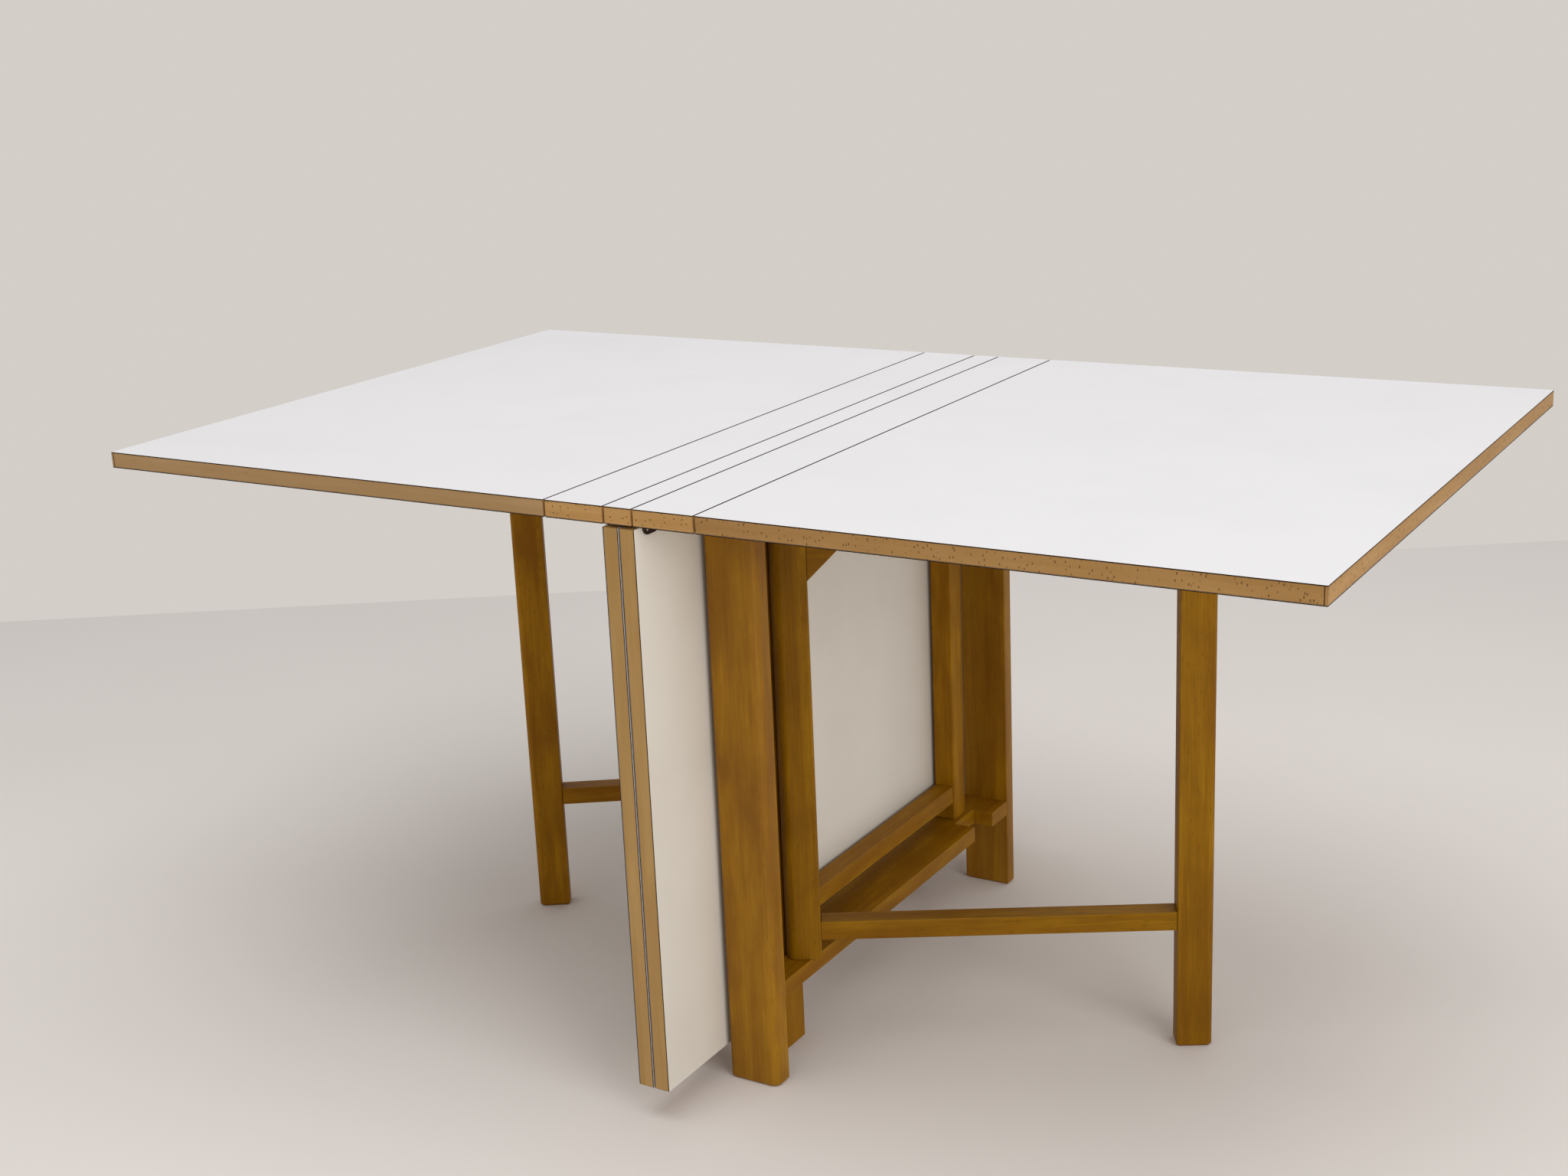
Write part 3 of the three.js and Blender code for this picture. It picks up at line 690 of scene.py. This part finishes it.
def seat_of(flap):
    """Gives the middle of a flap's screw line on its outer face, and the way that face looks."""
    low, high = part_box(flap)
    y = (low.y + high.y) / 2
    side = 1 if flap.startswith("right") else -1
    pin = OUTER_PIN if "outer" in flap else INNER_PIN
    if "inner" in flap and flap.endswith("leaf_flap"):
        return Vector((side * (pin + FLAP_FACE), y, UNDERSIDE - SCREW_LINE)), Vector((side, 0, 0))
    outwards = ("outer" in flap) == flap.endswith("leaf_flap")
    x = pin + SCREW_LINE if outwards else pin - SCREW_LINE
    return Vector((side * x, y, UNDERSIDE - FLAP_FACE)), Vector((0, 0, -1))


screws = []
for flap in sorted(name for name in nodes if name.endswith("_flap")):
    middle, out = seat_of(flap)
    turn = Vector((0, 0, 1)).rotation_difference(out).to_matrix().to_4x4()
    for spot in (-1, 1):
        copy = screw.copy()
        copy.data = screw.data.copy()
        copy.name = f"{flap}_screw_{'near' if spot < 0 else 'far'}"
        bpy.context.collection.objects.link(copy)
        sunk = Matrix.Translation((0, 0, -HEAD_DEPTH / 2 - SUNK))
        slot_turn = Matrix.Rotation(SLOT_TURN * len(screws), 4, "Z")
        place = Matrix.Translation(middle + Vector((0, spot * SCREW_SPREAD, 0)))
        copy.data.transform(place @ turn @ sunk @ slot_turn)
        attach(copy, body_of[flap])
        screws.append(copy)
bpy.data.objects.remove(screw)
print("screws:", len(screws))

# %% [markdown]
# ## Camera
#
# The camera stands some two and a half metres away, in front of the table and to its right, half
# a metre above the top. Its place and turn and its lens, in millimetres, were fitted to where the
# photograph shows the corners of the top and the feet of the legs. The shift moves the picture's
# middle by a share of its width.

# %% Camera
CAMERA_PLACE = (1.2885, -2.2427, 1.2721)
CAMERA_YAW = 0.5597
CAMERA_PITCH = 0.2820
CAMERA_ROLL = -0.0476
LENS = 49.69
SHIFT = (0.0193, -0.0051)


def turned_camera(yaw, pitch, roll):
    """Turns a camera that looks along +Y to the left by yaw and down by pitch, and rolls it."""
    forward = Vector((-math.sin(yaw), math.cos(yaw), 0))
    right = Vector((math.cos(yaw), math.sin(yaw), 0))
    up = Vector((0, 0, 1))
    ahead = forward * math.cos(pitch) - up * math.sin(pitch)
    head = forward * math.sin(pitch) + up * math.cos(pitch)
    side = right * math.cos(roll) + head * math.sin(roll)
    top = head * math.cos(roll) - right * math.sin(roll)
    return Matrix((side, top, -ahead)).transposed().to_4x4()


camera_data = bpy.data.cameras.new("camera")
camera = bpy.data.objects.new("camera", camera_data)
bpy.context.collection.objects.link(camera)
camera_data.lens = LENS
camera_data.shift_x, camera_data.shift_y = SHIFT
camera_turn = turned_camera(CAMERA_YAW, CAMERA_PITCH, CAMERA_ROLL)
camera.matrix_world = Matrix.Translation(CAMERA_PLACE) @ camera_turn
bpy.context.scene.camera = camera
print("camera at", tuple(round(v, 3) for v in camera.location))

# %% [markdown]
# ## Floor, backdrop and light
#
# A pale floor takes the table's soft shadow. It ends a little behind the table, nearly square to
# the camera's view, and beyond its edge the world is a plain pale wall of nearly the same colour.
# The camera and reflections see that wall, but for the light the world is a soft white sky. One
# large lamp hangs over the table, so the top is evenly bright and its shadow lies right under it.
# A smaller one stands low on the right in front, and reaches under the top to the legs and the
# hanging leaves.

# %% Floor
FLOOR_SIZE = 30
FLOOR_BEHIND = 1.787
FLOOR_TURN = math.radians(33)
FLOOR_TONES = (colour(0xECE6E1), colour(0xE8E1DC))
FLOOR_PATCHES_PER_METRE = 1.5
FLOOR_ROUGHNESS = 0.9
FLOOR_SHINE = 0.1
to_wall = Vector((-math.sin(FLOOR_TURN), math.cos(FLOOR_TURN), 0))
bpy.ops.object.select_all(action="DESELECT")
bpy.ops.mesh.primitive_plane_add(
    size=FLOOR_SIZE, location=to_wall * (FLOOR_BEHIND - FLOOR_SIZE / 2), rotation=(0, 0, FLOOR_TURN),
)
floor = bpy.context.object
floor.name = "floor"
floor_paint = blank("pale_painted_floor")
floor_where = add(floor_paint, "ShaderNodeTexCoord")
floor_cloud = add(
    floor_paint, "ShaderNodeTexNoise", values={"Scale": FLOOR_PATCHES_PER_METRE, "Detail": 3},
    links={"Vector": floor_where.outputs["Object"]},
)
floor_tone = add(
    floor_paint, "ShaderNodeMix", {"data_type": "RGBA"}, {6: FLOOR_TONES[0], 7: FLOOR_TONES[1]},
    {0: floor_cloud.outputs["Fac"]},
)
floor_shader = add(
    floor_paint, "ShaderNodeBsdfPrincipled",
    values={"Roughness": FLOOR_ROUGHNESS, "Specular IOR Level": FLOOR_SHINE},
    links={"Base Color": floor_tone.outputs[2]},
)
add(floor_paint, "ShaderNodeOutputMaterial", links={"Surface": floor_shader.outputs[0]})
floor.data.materials.append(floor_paint)
print("floor ends", FLOOR_BEHIND, "m behind the middle of the table")

# %% World and lamps
WALL = colour(0xD4CEC9)
WALL_STRENGTH = 1.0
SKY = colour(0xFFFFFF)
SKY_STRENGTH = 0.5
LAMPS = {
    "overhead_lamp": {"size": (3.6, 3.6), "watts": 65, "at": (0.1, -0.4, 4.0)},
    "low_lamp": {"size": (2.2, 1.6), "watts": 48, "at": (3.2, -1.7, 1.5)},
}
LAMPS_LOOK_AT = Vector((0, 0, 0.4))
world = bpy.data.worlds.new("studio")
bpy.context.scene.world = world
world.use_nodes = True
world.node_tree.nodes.clear()
seen = add(world, "ShaderNodeLightPath")
wall = add(world, "ShaderNodeBackground", values={"Color": WALL, "Strength": WALL_STRENGTH})
sky = add(world, "ShaderNodeBackground", values={"Color": SKY, "Strength": SKY_STRENGTH})
directly = add(
    world, "ShaderNodeMath", {"operation": "MAXIMUM"},
    links={0: seen.outputs["Is Camera Ray"], 1: seen.outputs["Is Glossy Ray"]},
)
either = add(
    world, "ShaderNodeMixShader",
    links={0: directly.outputs[0], 1: sky.outputs[0], 2: wall.outputs[0]},
)
add(world, "ShaderNodeOutputWorld", links={"Surface": either.outputs[0]})

for name, lamp_facts in LAMPS.items():
    lamp_data = bpy.data.lights.new(name, "AREA")
    lamp_data.shape = "RECTANGLE"
    lamp_data.size, lamp_data.size_y = lamp_facts["size"]
    lamp_data.energy = lamp_facts["watts"]
    lamp = bpy.data.objects.new(name, lamp_data)
    bpy.context.collection.objects.link(lamp)
    lamp.location = lamp_facts["at"]
    aim = LAMPS_LOOK_AT - lamp.location
    lamp.rotation_euler = aim.to_track_quat("-Z", "Y").to_euler()
bpy.context.scene.view_settings.view_transform = "Standard"
print("world and", len(bpy.data.lights), "lamps made")
